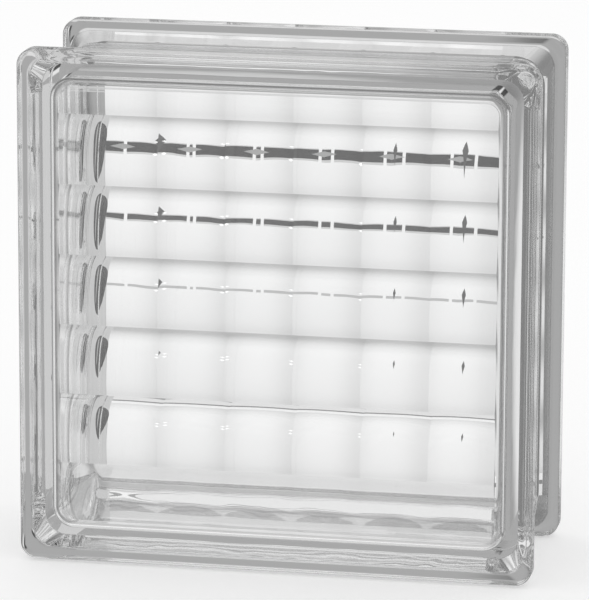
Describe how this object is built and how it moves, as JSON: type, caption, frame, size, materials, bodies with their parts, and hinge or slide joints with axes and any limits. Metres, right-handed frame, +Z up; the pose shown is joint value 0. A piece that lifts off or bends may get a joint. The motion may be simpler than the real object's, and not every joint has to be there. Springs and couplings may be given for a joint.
{
  "type": "glass block",
  "caption": "Hollow pressed-glass building block with clear flat faces, crossed reeds inside and a mortar channel round its edges.",
  "frame": {"origin": "middle of the edge that the block stands on, halfway through its depth", "axes": "+X along the width, +Y from the front face to the back face, +Z up"},
  "size_m": [0.19, 0.08, 0.19],
  "materials": {
    "clear_glass": "clear pressed glass, fire-polished, smooth and glossy"
  },
  "bodies": {
    "root": {"front_half": "clear_glass", "back_half": "clear_glass"}
  },
  "joints": []
}
